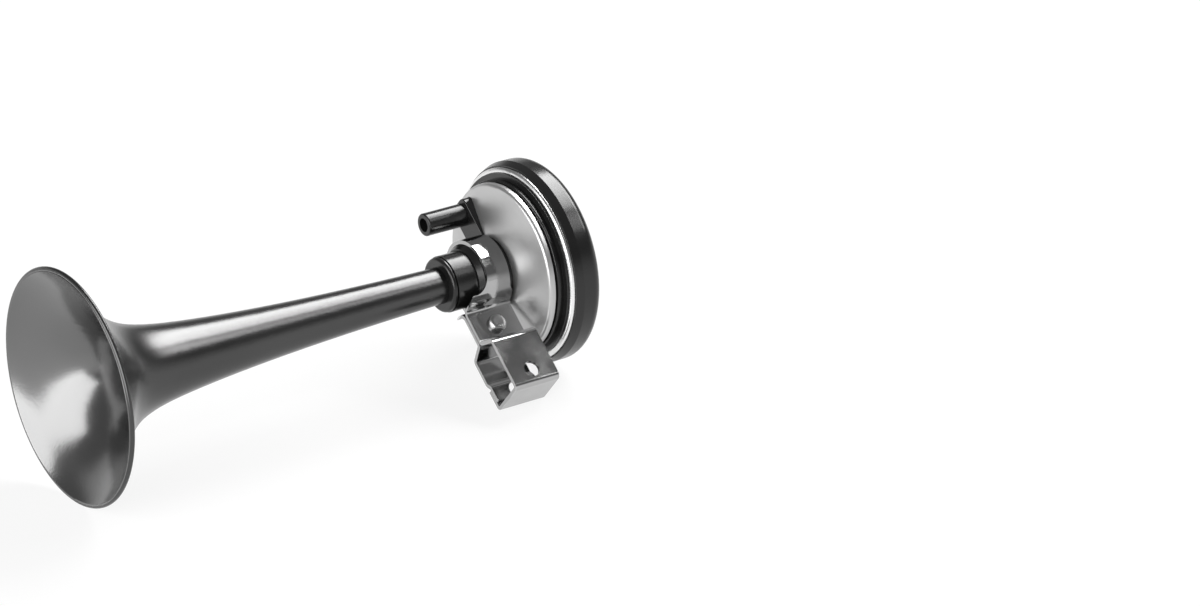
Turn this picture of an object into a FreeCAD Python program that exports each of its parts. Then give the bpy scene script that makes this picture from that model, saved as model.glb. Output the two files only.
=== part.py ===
"""Trumpet of a car air horn, lying on its bell rim, its rear cap and the foot of its bracket.

Each piece is drawn along one axis, the horn's own: x runs back from the mouth, the hose spigot is on
the +z side and the bracket's foot on the -z side. The last step lays every piece down as the horn rests.
"""
import FreeCAD, Part
import math
import os

import Sketcher
from FreeCAD import Placement, Rotation, Vector

# Driving dimensions in millimetres
SIZES = {
    # Trumpet
    "mouth_radius": 38.0,
    "rim_bead_radius": 0.8,
    "trumpet_wall": 1.0,
    "flare_length": 136.5,
    "tube_radius": 5.9,
    # Flare: a steep bell that fades out over a short reach, on a slow taper that runs back to the tube
    "taper_height": 11.9,
    "taper_reach": 57.5,
    "bell_reach": 10.2,
    "bell_power": 1.33,
    # Fits: a push fit between round pieces, and the air round a bolt
    "slip": 0.1,
    "bolt_play": 0.25,
    # Collar
    "collar_radius": 9.25,
    "collar_shown": 9.2,
    "collar_lip_radius": 9.0,
    "collar_lip_length": 1.3,
    "collar_lip_round": 1.0,
    "collar_groove_radius": 8.3,
    "collar_groove_width": 0.5,
    # Neck and front of the housing
    "neck_radius": 11.0,
    "neck_length": 11.9,
    "neck_bevel_length": 1.6,
    "neck_bevel_height": 1.2,
    "socket_depth": 11.5,
    # Dish plate
    "dish_radius": 28.0,
    "dish_rise": 2.9,
    "dish_thickness": 1.0,
    "dish_lip_length": 2.0,
    "dish_edge_round": 1.1,
    "dish_groove_width": 0.7,
    # Side wall, its shoulder, flange and chamber
    "wall_radius": 28.6,
    "wall_length": 2.1,
    "wall_round": 0.4,
    "shoulder_radius": 30.4,
    "shoulder_length": 0.7,
    "flange_length": 1.4,
    "flange_step": 0.6,
    "chamber_radius": 26.0,
    "chamber_depth": 4.4,
    "hub_radius": 9.5,
    "hub_gap": 3.4,
    # Inlet arm and hose spigot
    "arm_width": 9.6,
    "arm_height": 0.6,
    "arm_reach": 25.8,
    "arm_corner_round": 2.5,
    "arm_edge_round": 0.3,
    "spigot_offset": 21.6,
    "spigot_radius": 3.75,
    "spigot_length": 15.0,
    "spigot_bore_radius": 2.3,
    "spigot_tip_round": 0.5,
    # Sound chamber stack
    "nozzle_radius": 7.0,
    "nozzle_seat_width": 1.4,
    "nozzle_flare_length": 3.0,
    "nozzle_edge_round": 0.3,
    "gasket_thickness": 0.6,
    "gasket_width": 4.5,
    "diaphragm_thickness": 0.4,
    "plate_thickness": 1.2,
    "plate_dish_depth": 2.0,
    "plate_dish_radius": 23.0,
    "plate_bend_radius": 1.0,
    # Crimp ring
    "ring_wall": 0.8,
    "ring_lip_width": 3.0,
    "ring_front_round": 1.0,
    "ring_back_round": 0.35,
    # Rear cap
    "cap_wall": 1.5,
    "cap_overlap": 4.4,
    "cap_length": 9.6,
    "cap_back_thickness": 2.2,
    "cap_back_round": 3.0,
    "cap_front_wall": 0.4,
    "cap_front_bevel": 2.6,
    "cap_shoulder_width": 2.5,
    "cap_recess_radius": 25.5,
    "cap_recess_depth": 0.6,
    # Bracket strip
    "strip_thickness": 1.2,
    "strip_width": 16.7,
    "strip_gap": 0.3,
    "strip_bend_radius": 1.2,
    "loop_width": 8.3,
    "loop_setback": 1.8,
    "loop_overhang": 0.9,
    "loop_exit_radius": 2.5,
    "loop_foot_drop": 9.8,
    "loop_foot_bevel": 1.5,
    "loop_corner_round": 4.6,
    "lug_length": 23.5,
    "roof_drop": 2.4,
    "foot_half_width": 7.8,
    "foot_reach": 44.2,
    "lap_length": 6.6,
    "lap_step_length": 1.9,
    "lap_step_bend": 1.0,
    "lap_end_gap": 2.2,
    "foot_hole_reach": 39.0,
    "foot_hole_radius": 2.65,
    # Clamp bolt, washer and nut
    "bolt_reach": 18.6,
    "bolt_radius": 1.5,
    "bolt_head_radius": 3.0,
    "bolt_head_height": 2.2,
    "bolt_head_round": 1.4,
    "bolt_tail": 1.2,
    "bolt_tip_bevel": 0.5,
    "washer_radius": 3.5,
    "washer_thickness": 0.6,
    "nut_width": 5.5,
    "nut_height": 2.4,
}

# Stations along the axis and radii that follow from the driving dimensions
PLACES = {
    "neck_front": "size.flare_length + size.collar_shown",
    "socket_radius": "size.collar_radius + size.slip",
    "socket_end": "neck_front + size.socket_depth",
    "tube_bore": "size.tube_radius - size.trumpet_wall",
    "seal_radius": "(socket_radius - size.tube_radius) / 2",
    "collar_back": "socket_end - 2 * seal_radius",
    "dish_front": "neck_front + size.neck_length",
    "dish_edge": "dish_front + size.dish_rise",
    "dish_back": "dish_edge + size.dish_lip_length",
    "dish_inner": "size.neck_radius + size.slip",
    "step_radius": "size.dish_radius - size.dish_thickness - size.slip",
    "wall_front": "dish_back + size.dish_groove_width",
    "shoulder_front": "wall_front + size.wall_length",
    "ring_front": "shoulder_front + size.shoulder_length",
    "flange_front": "ring_front + size.ring_wall",
    "flange_back": "flange_front + size.flange_length",
    "flange_radius": "size.shoulder_radius + size.flange_step",
    "ring_radius": "flange_radius + size.slip + size.ring_wall",
    "chamber_front": "flange_back - size.chamber_depth",
    "diaphragm_front": "flange_back + size.gasket_thickness",
    "diaphragm_back": "diaphragm_front + size.diaphragm_thickness",
    "plate_front": "diaphragm_back + size.gasket_thickness",
    "plate_back": "plate_front + size.plate_thickness",
    "ring_back": "plate_back + size.ring_wall",
    "cap_bore": "ring_radius + size.slip",
    "cap_radius": "cap_bore + size.cap_wall",
    "cap_front": "ring_back - size.cap_overlap",
    "cap_back": "cap_front + size.cap_length",
    "arm_front": "dish_front - size.arm_height",
    "spigot_tip": "arm_front - size.spigot_length",
    "loop_front": "neck_front + size.loop_setback",
    "loop_back": "loop_front + size.loop_width",
    "strip_back": "loop_back + size.loop_overhang",
    "strip_front": "strip_back - size.strip_width",
    "strip_middle": "strip_back - size.strip_width / 2",
    "loop_radius": "size.neck_radius + size.slip + size.strip_thickness / 2",
    "lug_offset": "(size.strip_thickness + size.strip_gap) / 2",
    "lug_half": "size.strip_thickness + size.strip_gap / 2",
    "exit_offset": "lug_offset + size.loop_exit_radius",
    "exit_drop": "sqrt((loop_radius + size.loop_exit_radius) ^ 2 - exit_offset ^ 2)",
    "foot_offset": "size.foot_half_width - size.strip_thickness / 2",
    "foot_end": "size.foot_reach - size.strip_thickness / 2",
    "lap_offset": "foot_offset - size.strip_thickness - size.slip",
    "lap_tip": "foot_end - size.lap_length",
    "roof_reach": "size.lug_length + size.roof_drop",
    "bolt_station": "strip_middle",
}


def make_document():
    """The document with its sheet of driving dimensions and its sheet of places that follow from them."""
    doc = FreeCAD.newDocument("air_horn_trumpet")
    size = doc.addObject("Spreadsheet::Sheet", "size")
    for row, (alias, value) in enumerate(SIZES.items(), start=1):
        size.set(f"A{row}", alias)
        size.set(f"B{row}", str(value))
        size.setAlias(f"B{row}", alias)
    doc.recompute()
    place = doc.addObject("Spreadsheet::Sheet", "place")
    for row, (alias, formula) in enumerate(PLACES.items(), start=1):
        place.set(f"A{row}", alias)
        place.set(f"B{row}", "=" + formula)
        place.setAlias(f"B{row}", alias)
        doc.recompute()
    return doc


doc = make_document()


def value(expression):
    """What an expression on the two sheets comes to."""
    return float(doc.place.evalExpression(expression.replace("place.", "")))


def origin_plane(body, role):
    return next(item for item in body.Origin.OriginFeatures if item.Role == role)


def new_body(label):
    body = doc.addObject("PartDesign::Body", label)
    body.Label = label
    return body


def new_sketch(body, name, role, offset=None):
    """An empty sketch on one of the body's origin planes, moved along the plane's normal by offset."""
    sketch = body.newObject("Sketcher::SketchObject", name)
    sketch.AttachmentSupport = [(origin_plane(body, role), "")]
    sketch.MapMode = "FlatFace"
    if offset is not None:
        sketch.setExpression(".AttachmentOffset.Base.z", offset)
        doc.recompute()
    return sketch


def bind(sketch, kind, *where, to):
    """Adds a dimension to a sketch and ties it to an expression."""
    index = sketch.addConstraint(Sketcher.Constraint(kind, *where, value(to)))
    sketch.setExpression(f"Constraints[{index}]", to)


def pin_point(sketch, item, end, across, up):
    """Holds one point of a sketch at a place given by two expressions."""
    bind(sketch, "DistanceX", -1, 1, item, end, to=across)
    bind(sketch, "DistanceY", -1, 1, item, end, to=up)


def trimmed(before, corner, after, radius):
    """Where a round of that radius leaves the two sides of a corner, and the round's middle point."""
    back = (before - corner).normalize()
    ahead = (after - corner).normalize()
    half = back.getAngle(ahead) / 2
    reach = radius / math.tan(half)
    bisector = (back + ahead).normalize()
    middle = corner + bisector * (radius / math.sin(half) - radius)
    return corner + back * reach, middle, corner + ahead * reach


def draw_corners(sketch, corners, closed=True):
    """Straight sides through corners, each (across, up) or (across, up, radius of its round)."""
    points = [Vector(value(corner[0]), value(corner[1]), 0) for corner in corners]
    count = len(points)
    starts = list(points)
    ends = list(points)
    rounds = {}
    for i, corner in enumerate(corners):
        if len(corner) == 3:
            ends[i], middle, starts[i] = trimmed(points[i - 1], points[i], points[(i + 1) % count], value(corner[2]))
            rounds[i] = sketch.addGeometry(Part.Arc(ends[i], middle, starts[i]), False)
    sides = {}
    for i in range(count if closed else count - 1):
        sides[i] = sketch.addGeometry(Part.LineSegment(starts[i], ends[(i + 1) % count]), False)
    for i, corner in enumerate(corners):
        if i in rounds:
            join_round(sketch, sides[(i - 1) % count], rounds[i], sides[i], ends[i])
            bind(sketch, "Radius", rounds[i], to=corner[2])
            apex = sketch.addGeometry(Part.Point(points[i]), True)
            sketch.addConstraint(Sketcher.Constraint("PointOnObject", apex, 1, sides[(i - 1) % count]))
            sketch.addConstraint(Sketcher.Constraint("PointOnObject", apex, 1, sides[i]))
            pin_point(sketch, apex, 1, corner[0], corner[1])
        elif i in sides:
            pin_point(sketch, sides[i], 1, corner[0], corner[1])
            if (i - 1) % count in sides:
                sketch.addConstraint(Sketcher.Constraint("Coincident", sides[(i - 1) % count], 2, sides[i], 1))
        else:
            pin_point(sketch, sides[i - 1], 2, corner[0], corner[1])
    return sides


def join_round(sketch, side_in, arc, side_out, entry):
    """Makes an arc tangent to the side before it and the side after it."""
    arc_in = 1 if sketch.getPoint(arc, 1).isEqual(entry, 1e-6) else 2
    sketch.addConstraint(Sketcher.Constraint("Tangent", side_in, 2, arc, arc_in))
    sketch.addConstraint(Sketcher.Constraint("Tangent", side_out, 1, arc, 3 - arc_in))


def turned(body, name, corners, kind="PartDesign::Revolution"):
    """A full turn of a (station, radius) outline about the horn's axis, added or cut away."""
    sketch = new_sketch(body, name + "_outline", "XZ_Plane")
    draw_corners(sketch, corners)
    feature = body.newObject(kind, name)
    feature.Profile = sketch
    feature.ReferenceAxis = (sketch, ["H_Axis"])
    feature.Angle = 360
    doc.recompute()
    return feature


def turned_about(body, name, role, corners, axis, offset=None, kind="PartDesign::Revolution"):
    """A full turn of an outline about a line of its own sketch, given by its two end points."""
    sketch = new_sketch(body, name + "_outline", role, offset)
    draw_corners(sketch, corners)
    points = [Vector(value(across), value(up), 0) for across, up in axis]
    line = sketch.addGeometry(Part.LineSegment(*points), True)
    for end, (across, up) in enumerate(axis, start=1):
        pin_point(sketch, line, end, across, up)
    feature = body.newObject(kind, name)
    feature.Profile = sketch
    feature.ReferenceAxis = (sketch, ["Axis0"])
    feature.Angle = 360
    doc.recompute()
    return feature


def cut_through(body, name, role, draw):
    """Cuts a sketched shape right through the body, both ways from the plane, and checks that it cut."""
    before = body.Shape.Volume
    sketch = new_sketch(body, name + "_outline", role)
    draw(sketch)
    pocket = body.newObject("PartDesign::Pocket", name)
    pocket.Profile = sketch
    pocket.Type = "ThroughAll"
    pocket.Midplane = True
    doc.recompute()
    if body.Shape.Volume > before - 1e-3:
        raise RuntimeError(f"{name} cut nothing")
    return pocket


def draw_circle(sketch, across, up, radius):
    centre = Vector(value(across), value(up), 0)
    circle = sketch.addGeometry(Part.Circle(centre, Vector(0, 0, 1), value(radius)), False)
    pin_point(sketch, circle, 3, across, up)
    bind(sketch, "Radius", circle, to=radius)


def round_edges(body, name, radius, wanted):
    """Rounds the edges of the body's last feature that a test picks out."""
    tip = body.Tip
    names = [f"Edge{i}" for i, edge in enumerate(tip.Shape.Edges, start=1) if wanted(edge)]
    fillet = body.newObject("PartDesign::Fillet", name)
    fillet.Base = (tip, names)
    fillet.setExpression("Radius", radius)
    doc.recompute()
    return fillet


# Trumpet: bell, flare and tube in one piece with a rolled rim
def make_trumpet():
    bead = value("size.rim_bead_radius")
    wall = value("size.trumpet_wall")
    tube = value("size.tube_radius")
    edge_radius = value("size.mouth_radius") - bead
    run = value("size.flare_length") - bead
    taper_height = value("size.taper_height")
    taper_reach = value("size.taper_reach")
    bell_height = edge_radius - tube - taper_height
    bell_reach = value("size.bell_reach")
    bell_power = value("size.bell_power")
    taper_end = math.exp(-run / taper_reach)

    def flare_radius(back):
        taper = taper_height * (math.exp(-back / taper_reach) - taper_end) / (1 - taper_end)
        bell = bell_height * math.exp(-(back / bell_reach) ** bell_power)
        return tube + taper + bell

    outside = []
    steps = 12
    for i in range(steps + 1):
        back = run * (i / steps) ** 1.8
        outside.append(Vector(bead + back, 0, flare_radius(back)))
    outer_curve = Part.BSplineCurve()
    outer_curve.interpolate(outside)
    inside = []
    for point in outside:
        along = outer_curve.tangent(outer_curve.parameter(point))[0]
        inside.append(point + Vector(along.z, 0, -along.x) * wall)
    inner_curve = Part.BSplineCurve()
    inner_curve.interpolate(inside)
    tail = value("place.socket_end")
    tail_outside = Vector(tail, 0, tube)
    tail_inside = Vector(tail, 0, tube - wall)
    edges = [
        outer_curve.toShape(),
        Part.LineSegment(outside[-1], tail_outside).toShape(),
        Part.LineSegment(tail_outside, tail_inside).toShape(),
        Part.LineSegment(tail_inside, inside[-1]).toShape(),
        inner_curve.toShape(),
        Part.LineSegment(inside[0], outside[0]).toShape(),
    ]
    section = Part.Face(Part.Wire(Part.__sortEdges__(edges)))
    horn = section.revolve(Vector(0, 0, 0), Vector(1, 0, 0), 360)
    rim = Part.makeTorus(edge_radius, bead, Vector(bead, 0, 0), Vector(1, 0, 0))
    trumpet = doc.addObject("Part::Feature", "trumpet")
    trumpet.Label = "trumpet"
    trumpet.Shape = horn.fuse(rim).removeSplitter()
    return trumpet


# Collar: black sleeve between the tube and the neck, with a rounded front lip
def make_tube_collar():
    body = new_body("tube_collar")
    inner = "size.tube_radius + size.slip"
    lip_end = "size.flare_length + size.collar_lip_length"
    groove_end = lip_end + " + size.collar_groove_width"
    turned(body, "collar_sleeve", [
        ("size.flare_length", inner),
        ("size.flare_length", "size.collar_lip_radius", "size.collar_lip_round"),
        (lip_end, "size.collar_lip_radius"),
        (lip_end, "size.collar_groove_radius"),
        (groove_end, "size.collar_groove_radius"),
        (groove_end, "size.collar_radius"),
        ("place.collar_back", "size.collar_radius"),
        ("place.collar_back", inner),
    ])
    return body


# Seal ring: rubber ring round the tube at the bottom of the neck
def make_seal_ring():
    ring = doc.addObject("Part::Torus", "seal_ring")
    ring.Label = "seal_ring"
    ring.setExpression("Radius1", "size.tube_radius + place.seal_radius")
    ring.setExpression("Radius2", "place.seal_radius - size.slip / 2")
    return ring


# Front housing: neck, front wall, side wall and flange in one moulding with the inlet arm and spigot
def make_front_housing():
    body = new_body("front_housing")
    back_of_dish = "place.dish_front + size.dish_thickness"
    bore = "size.nozzle_radius + size.slip"
    hub_back = "place.diaphragm_front - size.hub_gap"
    turned(body, "housing_shell", [
        ("place.neck_front", "place.socket_radius"),
        ("place.neck_front", "size.neck_radius - size.neck_bevel_height"),
        ("place.neck_front + size.neck_bevel_length", "size.neck_radius"),
        (back_of_dish, "size.neck_radius"),
        ("place.dish_edge + size.dish_thickness", "place.step_radius"),
        ("place.wall_front", "place.step_radius"),
        ("place.wall_front", "size.wall_radius", "size.wall_round"),
        ("place.shoulder_front", "size.wall_radius"),
        ("place.shoulder_front", "size.shoulder_radius"),
        ("place.flange_front", "size.shoulder_radius"),
        ("place.flange_front", "place.flange_radius"),
        ("place.flange_back", "place.flange_radius"),
        ("place.flange_back", "size.chamber_radius"),
        ("place.chamber_front", "size.chamber_radius"),
        ("place.chamber_front", "size.hub_radius"),
        (hub_back, "size.hub_radius"),
        (hub_back, bore),
        ("place.socket_end", bore),
        ("place.socket_end", "place.socket_radius"),
    ])
    add_inlet_arm(body)
    add_hose_spigot(body)
    return body


def add_inlet_arm(body):
    """The raised arm from the neck to the spigot, its sides sunk into the front wall."""
    half = "size.arm_width / 2"
    root = "size.neck_radius - size.neck_bevel_height"
    sketch = new_sketch(body, "arm_outline", "YZ_Plane", "place.arm_front")
    draw_corners(sketch, [
        ("-" + half, root),
        ("-" + half, "size.arm_reach", "size.arm_corner_round"),
        (half, "size.arm_reach", "size.arm_corner_round"),
        (half, root),
    ])
    arm = body.newObject("PartDesign::Pad", "inlet_arm")
    arm.Profile = sketch
    arm.setExpression("Length", "place.dish_back - place.arm_front")
    doc.recompute()
    front = value("place.arm_front")
    clear_of_neck = value("size.neck_radius") + value("size.arm_edge_round")

    def on_arm_front(edge):
        box = edge.BoundBox
        return abs(box.XMin - front) < 1e-4 and abs(box.XMax - front) < 1e-4 and box.ZMax > clear_of_neck

    round_edges(body, "arm_edge_round", "size.arm_edge_round", on_arm_front)


def add_hose_spigot(body):
    """The plain spigot in front of the arm, with its bore on into the chamber."""
    centre = "size.spigot_offset"
    skin = centre + " + size.spigot_radius"
    inside_arm = "place.arm_front + size.arm_edge_round"
    chamber = "place.chamber_front + size.slip"
    axis = [("place.spigot_tip", centre), ("place.arm_front", centre)]
    turned_about(body, "hose_spigot", "XZ_Plane", [
        ("place.spigot_tip", centre),
        ("place.spigot_tip", skin, "size.spigot_tip_round"),
        (inside_arm, skin),
        (inside_arm, centre),
    ], axis)
    bore = centre + " + size.spigot_bore_radius"
    turned_about(body, "spigot_bore", "XZ_Plane", [
        ("place.spigot_tip - 1", centre),
        ("place.spigot_tip - 1", bore),
        (chamber, bore),
        (chamber, centre),
    ], axis, kind="PartDesign::Groove")


# Dish plate: shallow cone with a turned-back edge, cut out for the neck and the arm
def make_dish_plate():
    body = new_body("dish_plate")
    turned(body, "dish_cone", [
        ("place.dish_front", "place.dish_inner"),
        ("place.dish_edge", "size.dish_radius", "size.dish_edge_round"),
        ("place.dish_back", "size.dish_radius"),
        ("place.dish_back", "size.dish_radius - size.dish_thickness"),
        ("place.dish_edge + size.dish_thickness", "size.dish_radius - size.dish_thickness"),
        ("place.dish_front + size.dish_thickness", "place.dish_inner"),
    ])
    half = "(size.arm_width / 2 + size.slip)"
    reach = "size.arm_reach + size.slip"

    def arm_slot(sketch):
        draw_corners(sketch, [
            ("-" + half, "size.neck_radius - size.neck_bevel_height"),
            ("-" + half, reach, "size.arm_corner_round"),
            (half, reach, "size.arm_corner_round"),
            (half, "size.neck_radius - size.neck_bevel_height"),
        ])

    cut_through(body, "arm_slot", "YZ_Plane", arm_slot)
    return body


# Throat nozzle: turned insert that the diaphragm rests on
def make_throat_nozzle():
    body = new_body("throat_nozzle")
    turned(body, "nozzle_tube", [
        ("place.socket_end", "place.tube_bore"),
        ("place.socket_end", "size.nozzle_radius"),
        ("place.diaphragm_front", "size.nozzle_radius", "size.nozzle_edge_round"),
        ("place.diaphragm_front", "size.nozzle_radius - size.nozzle_seat_width"),
        ("place.diaphragm_front - size.nozzle_flare_length", "place.tube_bore"),
    ])
    return body


def make_gasket(label, front):
    body = new_body(label)
    inner = "place.flange_radius - size.gasket_width"
    back = front + " + size.gasket_thickness"
    turned(body, label + "_ring", [
        (front, inner),
        (front, "place.flange_radius"),
        (back, "place.flange_radius"),
        (back, inner),
    ])
    return body


# Diaphragm: thin steel disc
def make_diaphragm():
    disc = doc.addObject("Part::Cylinder", "diaphragm")
    disc.Label = "diaphragm"
    disc.setExpression("Radius", "place.flange_radius")
    disc.setExpression("Height", "size.diaphragm_thickness")
    return disc


# Back plate: pressed steel disc, dished away from the diaphragm
def make_back_plate():
    body = new_body("back_plate")
    dish_inside = "size.plate_dish_radius - size.plate_thickness"
    floor = "place.plate_front + size.plate_dish_depth"
    turned(body, "plate_dish", [
        (floor, "0"),
        (floor, dish_inside, "size.plate_bend_radius"),
        ("place.plate_front", dish_inside),
        ("place.plate_front", "place.flange_radius"),
        ("place.plate_back", "place.flange_radius"),
        ("place.plate_back", "size.plate_dish_radius"),
        (floor + " + size.plate_thickness", "size.plate_dish_radius", "size.plate_bend_radius"),
        (floor + " + size.plate_thickness", "0"),
    ])
    return body


# Crimp ring: bright ring closed over the flange, the gaskets and the back plate
def make_crimp_ring():
    body = new_body("crimp_ring")
    front_lip = "size.shoulder_radius + size.slip"
    back_lip = "place.ring_radius - size.ring_lip_width"
    skin_inside = "place.ring_radius - size.ring_wall"
    turned(body, "ring_channel", [
        ("place.ring_front", front_lip),
        ("place.ring_front", "place.ring_radius", "size.ring_front_round"),
        ("place.ring_back", "place.ring_radius", "size.ring_back_round"),
        ("place.ring_back", back_lip),
        ("place.plate_back", back_lip),
        ("place.plate_back", skin_inside),
        ("place.flange_front", skin_inside),
        ("place.flange_front", front_lip),
    ])
    return body


# Rear cap: pushed over the crimp ring, with a plain recessed back
def make_rear_cap():
    body = new_body("rear_cap")
    shoulder = "place.cap_bore - size.cap_shoulder_width"
    inside = "place.cap_back - size.cap_back_thickness"
    recess = "place.cap_back - size.cap_recess_depth"
    turned(body, "cap_shell", [
        ("place.cap_front", "place.cap_bore"),
        ("place.cap_front", "place.cap_bore + size.cap_front_wall"),
        ("place.cap_front + size.cap_front_bevel", "place.cap_radius"),
        ("place.cap_back", "place.cap_radius", "size.cap_back_round"),
        ("place.cap_back", "size.cap_recess_radius"),
        (recess, "size.cap_recess_radius - size.cap_recess_depth"),
        (recess, "0"),
        (inside, "0"),
        (inside, shoulder),
        ("place.ring_back", shoulder),
        ("place.ring_back", "place.cap_bore"),
    ])
    return body


# Mounting bracket: one strip folded into a loop, a doubled lug and a square foot with lapped ends
def make_mounting_bracket():
    body = new_body("mounting_bracket")
    route = draw_strip_route(body)
    half = "size.strip_thickness / 2"
    start = "-(place.foot_end - size.lap_end_gap)"
    section = new_sketch(body, "strip_section", "XY_Plane", start)
    draw_corners(section, [
        ("place.strip_front", "place.lap_offset - " + half),
        ("place.strip_back", "place.lap_offset - " + half),
        ("place.strip_back", "place.lap_offset + " + half),
        ("place.strip_front", "place.lap_offset + " + half),
    ])
    strip = body.newObject("PartDesign::AdditivePipe", "folded_strip")
    strip.Profile = section
    strip.Spine = (route, [])
    doc.recompute()
    narrow_the_loop(body)

    def bolt_hole(sketch):
        draw_circle(sketch, "place.bolt_station", "-size.bolt_reach", "size.bolt_radius + size.bolt_play")

    def foot_hole(sketch):
        draw_circle(sketch, "place.bolt_station", "-size.foot_hole_reach", "size.foot_hole_radius")

    cut_through(body, "clamp_hole", "XZ_Plane", bolt_hole)
    cut_through(body, "foot_hole", "XZ_Plane", foot_hole)
    return body


def draw_strip_route(body):
    """The middle line of the strip: lapped end, one foot wall, lug, loop, lug, round the foot, outer end."""
    route = new_sketch(body, "strip_route", "YZ_Plane", "place.strip_middle")
    bend = "size.strip_bend_radius"
    down = "-place.exit_drop"
    first = draw_corners(route, [
        ("place.lap_offset", "-(place.foot_end - size.lap_end_gap)"),
        ("place.lap_offset", "-(place.lap_tip - size.strip_thickness / 2)", "size.lap_step_bend"),
        ("place.foot_offset", "-(place.lap_tip - size.strip_thickness / 2 - size.lap_step_length)", "size.lap_step_bend"),
        ("place.foot_offset", "-place.roof_reach", bend),
        ("place.lug_offset", "-size.lug_length", bend),
        ("place.lug_offset", down),
    ], closed=False)
    second = draw_corners(route, [
        ("-place.lug_offset", down),
        ("-place.lug_offset", "-size.lug_length", bend),
        ("-place.foot_offset", "-place.roof_reach", bend),
        ("-place.foot_offset", "-place.foot_end", bend),
        ("place.foot_offset", "-place.foot_end", bend),
        ("place.foot_offset", "-place.lap_tip"),
    ], closed=False)
    loop = value("place.loop_radius")
    exit_radius = value("size.loop_exit_radius")
    across = value("place.exit_offset")
    drop = value("place.exit_drop")
    lean = math.atan2(across, drop)
    turn = Vector(0, 0, 1)
    circle = Part.Circle(Vector(0, 0, 0), turn, loop)
    around = route.addGeometry(Part.ArcOfCircle(circle, lean - math.pi / 2, 1.5 * math.pi - lean), False)
    right_circle = Part.Circle(Vector(across, -drop, 0), turn, exit_radius)
    right = route.addGeometry(Part.ArcOfCircle(right_circle, math.pi / 2 + lean, math.pi), False)
    left_circle = Part.Circle(Vector(-across, -drop, 0), turn, exit_radius)
    left = route.addGeometry(Part.ArcOfCircle(left_circle, 0, math.pi / 2 - lean), False)
    route.addConstraint(Sketcher.Constraint("Coincident", around, 3, -1, 1))
    bind(route, "Radius", around, to="place.loop_radius")
    for exit_arc, lug, lug_point, arc_point, loop_point in (
        (right, first[4], 2, 2, 1),
        (left, second[0], 1, 1, 2),
    ):
        route.addConstraint(Sketcher.Constraint("Tangent", lug, lug_point, exit_arc, arc_point))
        route.addConstraint(Sketcher.Constraint("Tangent", exit_arc, 3 - arc_point, around, loop_point))
    doc.recompute()
    return route


def narrow_the_loop(body):
    """Cuts the strip back on both sides where it goes round the neck, with bevels down to the lug."""
    clear = "size.strip_thickness"
    above = "place.loop_radius + " + clear
    foot = "-size.loop_foot_drop"
    below = "-(size.loop_foot_drop + size.loop_foot_bevel + " + clear + ")"
    ahead = "place.strip_front - " + clear
    behind = "place.strip_back + " + clear

    def loop_front(sketch):
        draw_corners(sketch, [
            (ahead, below),
            ("place.strip_front + size.loop_foot_bevel", foot),
            ("place.loop_front", foot, "size.loop_corner_round"),
            ("place.loop_front", above),
            (ahead, above),
        ])

    def loop_back(sketch):
        draw_corners(sketch, [
            (behind, foot + " - size.loop_overhang - " + clear),
            ("place.loop_back", foot),
            ("place.loop_back", above),
            (behind, above),
        ])

    cut_through(body, "loop_front_cut", "XZ_Plane", loop_front)
    cut_through(body, "loop_back_cut", "XZ_Plane", loop_back)


# Clamp bolt, washer and nut through the lug
def make_clamp_bolt():
    body = new_body("clamp_bolt")
    middle = "place.bolt_station"
    head = middle + " + size.bolt_head_radius"
    shank = middle + " + size.bolt_radius"
    top = "-(place.lug_half + size.bolt_head_height)"
    tip = "place.lug_half + size.washer_thickness + size.nut_height + size.bolt_tail"
    turned_about(body, "bolt_body", "XY_Plane", [
        (middle, top),
        (head, top, "size.bolt_head_round"),
        (head, "-place.lug_half"),
        (shank, "-place.lug_half"),
        (shank, tip + " - size.bolt_tip_bevel"),
        (shank + " - size.bolt_tip_bevel", tip),
        (middle, tip),
    ], [(middle, top), (middle, tip)], offset="-size.bolt_reach")
    return body


def make_clamp_washer():
    body = new_body("clamp_washer")
    middle = "place.bolt_station"
    bore = middle + " + size.bolt_radius + size.bolt_play"
    skin = middle + " + size.washer_radius"
    under = "place.lug_half + size.washer_thickness"
    turned_about(body, "washer_ring", "XY_Plane", [
        (bore, "place.lug_half"),
        (skin, "place.lug_half"),
        (skin, under),
        (bore, under),
    ], [(middle, "place.lug_half"), (middle, under)], offset="-size.bolt_reach")
    return body


def make_clamp_nut():
    body = new_body("clamp_nut")
    sketch = new_sketch(body, "nut_outline", "XZ_Plane", "-(place.lug_half + size.washer_thickness)")
    corner = "size.nut_width / sqrt(3)"
    draw_corners(sketch, [
        (f"place.bolt_station + {corner} * cos({60 * k})", f"{corner} * sin({60 * k}) - size.bolt_reach")
        for k in range(6)
    ])
    draw_circle(sketch, "place.bolt_station", "-size.bolt_reach", "size.bolt_radius + size.slip")
    nut = body.newObject("PartDesign::Pad", "nut_hexagon")
    nut.Profile = sketch
    nut.Reversed = True
    nut.setExpression("Length", "size.nut_height")
    doc.recompute()
    return body


def resting_placement():
    """How the horn lies: bell rim and cap on the floor, rolled until the foot's lapped corner touches it."""
    bead = value("size.rim_bead_radius")
    bell = value("size.mouth_radius") - bead
    cap_round = value("size.cap_back_round")
    cap = value("place.cap_radius") - cap_round
    run = value("place.cap_back") - cap_round - bead
    tilt = math.atan2(bell - cap, run) + math.asin((bead - cap_round) / math.hypot(run, bell - cap))
    height = bead * math.sin(tilt) + bell * math.cos(tilt) + bead
    bend = value("size.strip_bend_radius + size.strip_thickness / 2")
    across = value("size.foot_half_width") - bend
    reach = value("size.foot_reach") - bend
    room = (height - value("place.strip_back") * math.sin(tilt)) / math.cos(tilt) - bend
    roll = math.atan2(across, reach) + math.acos(room / math.hypot(across, reach))
    turn = Rotation(Vector(0, 1, 0), math.degrees(tilt)) * Rotation(Vector(1, 0, 0), -math.degrees(roll))
    return Placement(Vector(0, 0, height), turn)


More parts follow.
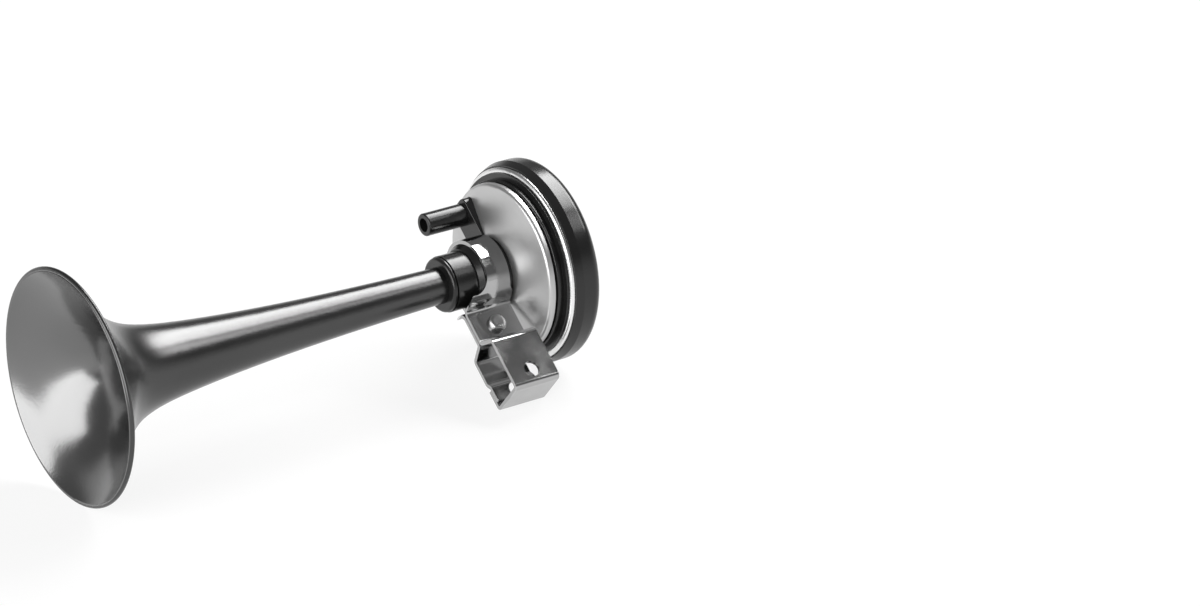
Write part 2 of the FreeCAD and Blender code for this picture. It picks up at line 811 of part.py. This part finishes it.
def lay_down(pieces):
    """Places every piece as the horn rests, with the origin under the middle of its box."""
    rest = resting_placement()
    for piece, own in pieces.items():
        piece.Placement = rest.multiply(own)
    doc.recompute()
    boxes = [piece.Shape.optimalBoundingBox(False, False) for piece in pieces]
    middle_x = (min(box.XMin for box in boxes) + max(box.XMax for box in boxes)) / 2
    middle_y = (min(box.YMin for box in boxes) + max(box.YMax for box in boxes)) / 2
    shift = Placement(Vector(-middle_x, -middle_y, 0), Rotation())
    for piece, own in pieces.items():
        piece.Placement = shift.multiply(rest).multiply(own)
    doc.recompute()
    return shift.multiply(rest)


def along_axis(station):
    """The placement of a round piece whose own axis is z and which starts at a station of the horn."""
    return Placement(Vector(value(station), 0, 0), Rotation(Vector(0, 1, 0), 90))


def check(pieces):
    """Stops if any feature failed or any piece is empty or not one valid solid."""
    for item in doc.Objects:
        if "Invalid" in item.State or "Error" in item.State:
            raise RuntimeError(f"{item.Name} failed: {item.State}")
    for piece in pieces:
        shape = piece.Shape
        if shape.isNull() or not shape.isValid() or len(shape.Solids) != 1:
            raise RuntimeError(f"{piece.Label} is not one valid solid")


pieces = {
    make_trumpet(): Placement(),
    make_tube_collar(): Placement(),
    make_seal_ring(): along_axis("place.socket_end - place.seal_radius"),
    make_front_housing(): Placement(),
    make_dish_plate(): Placement(),
    make_throat_nozzle(): Placement(),
    make_gasket("front_gasket", "place.flange_back"): Placement(),
    make_diaphragm(): along_axis("place.diaphragm_front"),
    make_gasket("rear_gasket", "place.diaphragm_back"): Placement(),
    make_back_plate(): Placement(),
    make_crimp_ring(): Placement(),
    make_rear_cap(): Placement(),
    make_mounting_bracket(): Placement(),
    make_clamp_bolt(): Placement(),
    make_clamp_washer(): Placement(),
    make_clamp_nut(): Placement(),
}
laid = lay_down(pieces)
check(pieces)

os.makedirs("parts", exist_ok=True)
for piece in pieces:
    piece.Shape.exportStep(f"parts/{piece.Label}.step")
    print(f"{piece.Label}: {piece.Shape.Volume:.1f} mm3")
print("horn axis frame:", laid)
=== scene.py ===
"""Looks of the air horn trumpet: materials, studio, lights and camera."""
import math

import bpy
from mathutils import Matrix, Vector

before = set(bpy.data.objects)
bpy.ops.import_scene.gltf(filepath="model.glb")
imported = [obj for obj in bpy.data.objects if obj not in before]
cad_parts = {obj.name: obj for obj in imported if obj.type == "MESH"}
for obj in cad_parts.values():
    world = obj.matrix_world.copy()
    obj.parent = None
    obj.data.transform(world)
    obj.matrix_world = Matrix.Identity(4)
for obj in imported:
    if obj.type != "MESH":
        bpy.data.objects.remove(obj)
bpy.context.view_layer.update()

# Where the horn's own axis lies: its mouth in metres, then the tilt and the roll in degrees
MOUTH = (-0.0883835, 0.0, 0.0380082)
TILT = 1.48805
ROLL = -49.396
HORN_TURN = Matrix.Rotation(math.radians(TILT), 3, "Y") @ Matrix.Rotation(math.radians(ROLL), 3, "X")

# How far in from an edge the finish is worn, in metres
WEAR_WIDTH = 0.0003

# The floor's half side in metres, and the strengths of the floor and the world.
# LIT is what diffuse rays meet; the rest is what the camera and reflections show.
FLOOR_HALF = 3.0
FLOOR_LIT = 0.15
FLOOR_PAPER = 0.14
FLOOR_GLOW = 0.86
WORLD_LIT = 0.06
BACKDROP = 1.0
CEILING = 0.22
BACKDROP_TOP = 0.04
CEILING_START = 0.3

# The camera that was fitted to the photograph: its axes and its place in metres
CAMERA_RIGHT = (0.811134, -0.584481, -0.021071)
CAMERA_UP = (0.254811, 0.320735, 0.912250)
CAMERA_BACK = (-0.526435, -0.745326, 0.409091)
CAMERA_PLACE = (-0.751362, -1.220815, 0.680918)
SENSOR_WIDTH = 36.0
FOCAL_LENGTH = 150.0
CLIP_END = 20.0


class Shader:
    """One material: its Principled shader, with short calls that add and link nodes."""

    def __init__(self, name):
        self.material = bpy.data.materials.new(name)
        self.material.use_nodes = True
        self.tree = self.material.node_tree
        self.surface = self.tree.nodes["Principled BSDF"]

    def set(self, **values):
        """Sets the shader's own sockets."""
        for key, value in values.items():
            self.surface.inputs[key].default_value = value

    def node(self, kind, settings=(), **inputs):
        """Adds a node. Its inputs go by name, or by number as i0, i1, and take a value or another node's output."""
        node = self.tree.nodes.new(kind)
        for key, value in settings:
            setattr(node, key, value)
        for key, value in inputs.items():
            by_number = key[0] == "i" and key[1:].isdigit()
            socket = node.inputs[int(key[1:]) if by_number else key]
            if isinstance(value, bpy.types.NodeSocket):
                self.tree.links.new(value, socket)
            else:
                socket.default_value = value
        return node

    def link(self, output, key):
        self.tree.links.new(output, self.surface.inputs[key])

    def math(self, operation, *values):
        inputs = {f"i{k}": value for k, value in enumerate(values)}
        return self.node("ShaderNodeMath", [("operation", operation)], **inputs).outputs[0]

    def scaled(self, factor, scale, offset=0.0):
        """factor * scale + offset"""
        return self.math("ADD", self.math("MULTIPLY", factor, scale), offset)

    def ramp(self, factor, low, high, to_low=0.0, to_high=1.0):
        """A smooth step from to_low, at low, to to_high, at high."""
        node = self.node("ShaderNodeMapRange", [("interpolation_type", "SMOOTHSTEP")], Value=factor)
        for key, value in (("From Min", low), ("From Max", high), ("To Min", to_low), ("To Max", to_high)):
            node.inputs[key].default_value = value
        return node.outputs[0]

    def noise(self, where, scale, detail):
        node = self.node("ShaderNodeTexNoise", Vector=where, Scale=scale, Detail=detail)
        return node.outputs["Fac"]

    def grey(self, shade):
        return self.node("ShaderNodeCombineColor", i0=shade, i1=shade, i2=shade).outputs[0]

    def into_horn_frame(self, vector, origin=(0.0, 0.0, 0.0)):
        """Turns a place or a direction into the horn's own frame, whose x runs back along the axis."""
        mapping = self.node("ShaderNodeMapping", [("vector_type", "TEXTURE")], Vector=vector)
        mapping.inputs["Location"].default_value = origin
        mapping.inputs["Rotation"].default_value = HORN_TURN.to_euler()
        return mapping.outputs[0]

    def place(self):
        """The place in the horn's own frame, in metres behind the middle of the mouth."""
        return self.into_horn_frame(self.node("ShaderNodeTexCoord").outputs["Object"], MOUTH)

    def axis_distance(self, place):
        x, y, z = self.node("ShaderNodeSeparateXYZ", Vector=place).outputs
        return self.math("SQRT", self.math("ADD", self.math("MULTIPLY", y, y), self.math("MULTIPLY", z, z)))

    def faces_axis(self, place):
        """1 where the surface faces the horn's own axis, as inside the bell, and 0 where it faces away."""
        normal = self.into_horn_frame(self.node("ShaderNodeTexCoord").outputs["Normal"])
        lean = self.node("ShaderNodeVectorMath", [("operation", "MULTIPLY")], i0=normal, i1=place)
        x, y, z = self.node("ShaderNodeSeparateXYZ", Vector=lean.outputs[0]).outputs
        outward = self.math("DIVIDE", self.math("ADD", y, z), self.axis_distance(place))
        return self.ramp(outward, -0.05, 0.05, 1.0, 0.0)

    def edge_wear(self, cloud):
        """1 on worn edges and 0 on the flat of a surface, broken up by the cloud."""
        rounded = self.node("ShaderNodeBevel", [("samples", 6)], Radius=WEAR_WIDTH).outputs[0]
        flat = self.node("ShaderNodeNewGeometry").outputs["Normal"]
        product = self.node("ShaderNodeVectorMath", [("operation", "DOT_PRODUCT")], i0=rounded, i1=flat)
        edge = self.ramp(product.outputs["Value"], 0.8, 0.98, 1.0, 0.0)
        return self.math("MULTIPLY", edge, self.ramp(cloud, 0.3, 0.7))

    def bump(self, height, distance):
        """Raises the surface by a height of 0 to 1, times a distance in metres."""
        self.link(self.node("ShaderNodeBump", Height=height, Distance=distance).outputs[0], "Normal")


def trumpet_finish():
    """Dark satin metal, smoother inside the bell, with painted light: the inside of the bell is given a lighter
    shade than the outside.
    """
    look = Shader("trumpet_finish")
    look.set(Metallic=0.9)
    place = look.place()
    inside = look.faces_axis(place)
    cloud = look.noise(place, 45, 3)
    grain = look.noise(place, 1400, 2)
    worn = look.edge_wear(cloud)
    shade = look.scaled(cloud, 0.02, 0.07)
    shade = look.math("ADD", shade, look.math("MULTIPLY", worn, 0.12))
    # Painted light: a lighter shade inside the bell than outside, on the same metal
    shade = look.math("ADD", shade, look.math("MULTIPLY", inside, 0.1))
    look.link(look.grey(shade), "Base Color")
    roughness = look.scaled(cloud, 0.06, 0.225)
    look.link(look.math("SUBTRACT", roughness, look.math("MULTIPLY", inside, 0.05)), "Roughness")
    look.bump(grain, 0.00002)
    return look.material


def dish_finish():
    """Satin grey paint over fine turned rings, with painted shade that darkens it towards the neck."""
    look = Shader("dish_finish")
    look.set(Metallic=0.9)
    place = look.place()
    reach = look.axis_distance(place)
    ring_place = look.math("MULTIPLY", reach, 9000.0)
    ring_node = look.node("ShaderNodeTexNoise", [("noise_dimensions", "1D")], W=ring_place, Scale=1.0)
    rings = ring_node.outputs["Fac"]
    cloud = look.noise(place, 120, 3)
    shade = look.scaled(cloud, 0.08, 0.44)
    # Painted shade: darker towards the neck, where the neck and strap meet the dish
    shade = look.math("ADD", shade, look.math("MULTIPLY", look.ramp(reach, 0.008, 0.03), 0.08))
    look.link(look.grey(shade), "Base Color")
    look.link(look.scaled(rings, 0.12, 0.3), "Roughness")
    look.bump(rings, 0.000006)
    return look.material


def black_plastic():
    """Gloss black moulding with cloudy gloss and slightly lighter worn edges."""
    look = Shader("black_plastic")
    place = look.place()
    cloud = look.noise(place, 90, 4)
    grain = look.noise(place, 2200, 2)
    worn = look.edge_wear(cloud)
    shade = look.scaled(cloud, 0.01, 0.006)
    look.link(look.grey(look.math("ADD", shade, look.math("MULTIPLY", worn, 0.05))), "Base Color")
    look.link(look.scaled(cloud, 0.14, 0.16), "Roughness")
    look.bump(grain, 0.00001)
    return look.material


def metal(name, shade, roughness, tint=(1, 1, 1)):
    """Bare or plated metal with cloudy gloss, fine scratches and brighter worn edges."""
    look = Shader(name)
    look.set(Metallic=1.0)
    place = look.place()
    cloud = look.noise(place, 160, 4)
    scratch = look.noise(place, 2600, 2)
    worn = look.edge_wear(cloud)
    level = look.scaled(cloud, 0.1, shade - 0.05)
    level = look.math("ADD", level, look.math("MULTIPLY", worn, (1 - shade) * 0.6))
    channels = {f"i{k}": look.math("MULTIPLY", level, tint[k]) for k in range(3)}
    look.link(look.node("ShaderNodeCombineColor", **channels).outputs[0], "Base Color")
    look.link(look.scaled(cloud, 0.16, roughness - 0.08), "Roughness")
    look.bump(scratch, 0.000008)
    return look.material


def rubber():
    """Matt black rubber with a fine pebbled skin."""
    look = Shader("rubber")
    look.set(Roughness=0.75)
    cloud = look.noise(look.place(), 400, 3)
    look.link(look.grey(look.scaled(cloud, 0.01, 0.012)), "Base Color")
    look.bump(cloud, 0.00003)
    return look.material


# Each material and the CAD nodes that wear it
FINISHES = {
    trumpet_finish(): ["trumpet"],
    dish_finish(): ["dish_plate"],
    black_plastic(): ["tube_collar", "front_housing", "rear_cap"],
    rubber(): ["seal_ring", "front_gasket", "rear_gasket"],
    metal("brass", 0.7, 0.3, tint=(1.0, 0.76, 0.42)): ["throat_nozzle"],
    metal("spring_steel", 0.55, 0.22): ["diaphragm"],
    metal("plated_steel", 0.55, 0.3): ["back_plate", "clamp_bolt", "clamp_washer", "clamp_nut"],
    metal("bright_plate", 0.84, 0.27): ["crimp_ring"],
    metal("strap_plate", 0.42, 0.08): ["mounting_bracket"],
}
for material, names in FINISHES.items():
    for name in names:
        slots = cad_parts[name].data.materials
        slots.clear()
        slots.append(material)


def background(tree, lit, seen):
    """A shader for what camera, glossy and transmission rays see, and another for all other rays."""
    path = tree.nodes.new("ShaderNodeLightPath")
    rays = path.outputs["Is Camera Ray"]
    for kind in ("Is Glossy Ray", "Is Transmission Ray"):
        either = tree.nodes.new("ShaderNodeMath")
        either.operation = "MAXIMUM"
        tree.links.new(rays, either.inputs[0])
        tree.links.new(path.outputs[kind], either.inputs[1])
        rays = either.outputs[0]
    mix = tree.nodes.new("ShaderNodeMixShader")
    for socket, output in zip(mix.inputs, (rays, lit, seen)):
        tree.links.new(output, socket)
    return mix.outputs[0]


def make_world():
    """A white backdrop low down that fades into a dark ceiling, and an even grey for the diffuse light."""
    world = bpy.data.worlds.new("studio")
    bpy.context.scene.world = world
    world.use_nodes = True
    tree = world.node_tree
    lit = tree.nodes["Background"]
    lit.inputs["Color"].default_value = (WORLD_LIT, WORLD_LIT, WORLD_LIT, 1)
    where = tree.nodes.new("ShaderNodeTexCoord")
    split = tree.nodes.new("ShaderNodeSeparateXYZ")
    tree.links.new(where.outputs["Generated"], split.inputs[0])
    fade = tree.nodes.new("ShaderNodeMapRange")
    fade.interpolation_type = "SMOOTHSTEP"
    fade.inputs["From Min"].default_value = BACKDROP_TOP
    fade.inputs["From Max"].default_value = CEILING_START
    fade.inputs["To Min"].default_value = BACKDROP
    fade.inputs["To Max"].default_value = CEILING
    tree.links.new(split.outputs["Z"], fade.inputs["Value"])
    seen = tree.nodes.new("ShaderNodeBackground")
    tree.links.new(fade.outputs[0], seen.inputs["Strength"])
    out = background(tree, lit.outputs[0], seen.outputs[0])
    tree.links.new(out, tree.nodes["World Output"].inputs["Surface"])


def make_floor():
    """A sheet of paper that shows white and keeps the object's shadow."""
    mesh = bpy.data.meshes.new("floor")
    corners = [(x * FLOOR_HALF, y * FLOOR_HALF, 0) for x, y in ((-1, -1), (1, -1), (1, 1), (-1, 1))]
    mesh.from_pydata(corners, [], [(0, 1, 2, 3)])
    floor = bpy.data.objects.new("floor", mesh)
    bpy.context.scene.collection.objects.link(floor)
    material = bpy.data.materials.new("floor_paper")
    material.use_nodes = True
    tree = material.node_tree
    tree.nodes.remove(tree.nodes["Principled BSDF"])
    lit = tree.nodes.new("ShaderNodeBsdfDiffuse")
    lit.inputs["Color"].default_value = (FLOOR_LIT, FLOOR_LIT, FLOOR_LIT, 1)
    paper = tree.nodes.new("ShaderNodeBsdfDiffuse")
    paper.inputs["Color"].default_value = (FLOOR_PAPER, FLOOR_PAPER, FLOOR_PAPER, 1)
    glow = tree.nodes.new("ShaderNodeEmission")
    glow.inputs["Strength"].default_value = FLOOR_GLOW
    both = tree.nodes.new("ShaderNodeAddShader")
    tree.links.new(paper.outputs[0], both.inputs[0])
    tree.links.new(glow.outputs[0], both.inputs[1])
    out = background(tree, lit.outputs[0], both.outputs[0])
    tree.links.new(out, tree.nodes["Material Output"].inputs["Surface"])
    mesh.materials.append(material)


def make_lamp(name, place, along, size, radiance):
    """A softbox at a place, facing the object, its long side laid along a direction. Lengths are in metres."""
    lamp = bpy.data.lights.new(name, "AREA")
    lamp.shape = "RECTANGLE"
    lamp.size, lamp.size_y = size
    lamp.energy = radiance * math.pi * size[0] * size[1]
    lamp_object = bpy.data.objects.new(name, lamp)
    bpy.context.scene.collection.objects.link(lamp_object)
    back = Vector(place).normalized()
    side = back.cross(Vector(along)).normalized()
    long_side = side.cross(back)
    turn = Matrix((long_side, -side, back)).transposed().to_4x4()
    lamp_object.matrix_world = Matrix.Translation(place) @ turn


def make_camera():
    camera = bpy.data.cameras.new("camera")
    camera.sensor_width = SENSOR_WIDTH
    camera.lens = FOCAL_LENGTH
    camera.clip_end = CLIP_END
    camera_object = bpy.data.objects.new("camera", camera)
    bpy.context.scene.collection.objects.link(camera_object)
    turn = Matrix((CAMERA_RIGHT, CAMERA_UP, CAMERA_BACK)).transposed().to_4x4()
    camera_object.matrix_world = Matrix.Translation(CAMERA_PLACE) @ turn
    bpy.context.scene.camera = camera_object


make_world()
make_floor()
make_lamp("top_softbox", (0.85, 0.18, 1.0), (-0.09, 0.97, 0.2), (1.0, 0.46), 13)
make_lamp("side_softbox", (0.93, -0.55, 0.82), (0.0, 0.83, 0.56), (0.36, 0.36), 7)
make_lamp("left_softbox", (-1.0, -0.22, 0.41), (0.0, 1.0, 0.0), (1.55, 0.78), 4.3)
make_camera()
bpy.context.scene.view_settings.view_transform = "Standard"
